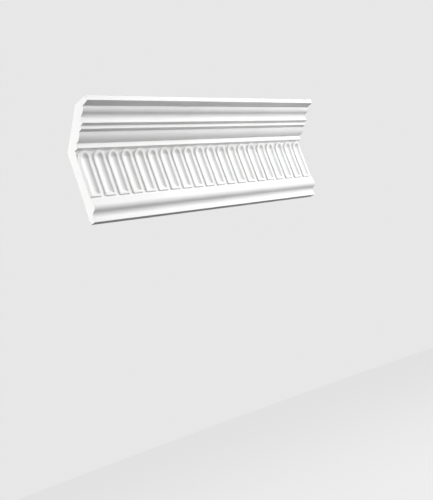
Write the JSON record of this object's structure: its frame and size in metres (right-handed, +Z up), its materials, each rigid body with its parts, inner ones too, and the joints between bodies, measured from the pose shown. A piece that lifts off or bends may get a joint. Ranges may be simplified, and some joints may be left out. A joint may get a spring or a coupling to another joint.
{
  "type": "cornice moulding length",
  "caption": "Square cut length of fluted crown moulding, cast in one piece, glued in the corner between wall and ceiling.",
  "frame": {"origin": "middle of the flat land at the lower back that is glued to the wall, half way along the length", "axes": "+X along the moulding to the right as seen from the room, +Y into the wall, +Z up to the ceiling"},
  "size_m": [0.448, 0.069, 0.14],
  "materials": {
    "white_foam": "matt white primer on moulded rigid foam"
  },
  "bodies": {
    "root": {"cornice": "white_foam"}
  },
  "joints": []
}
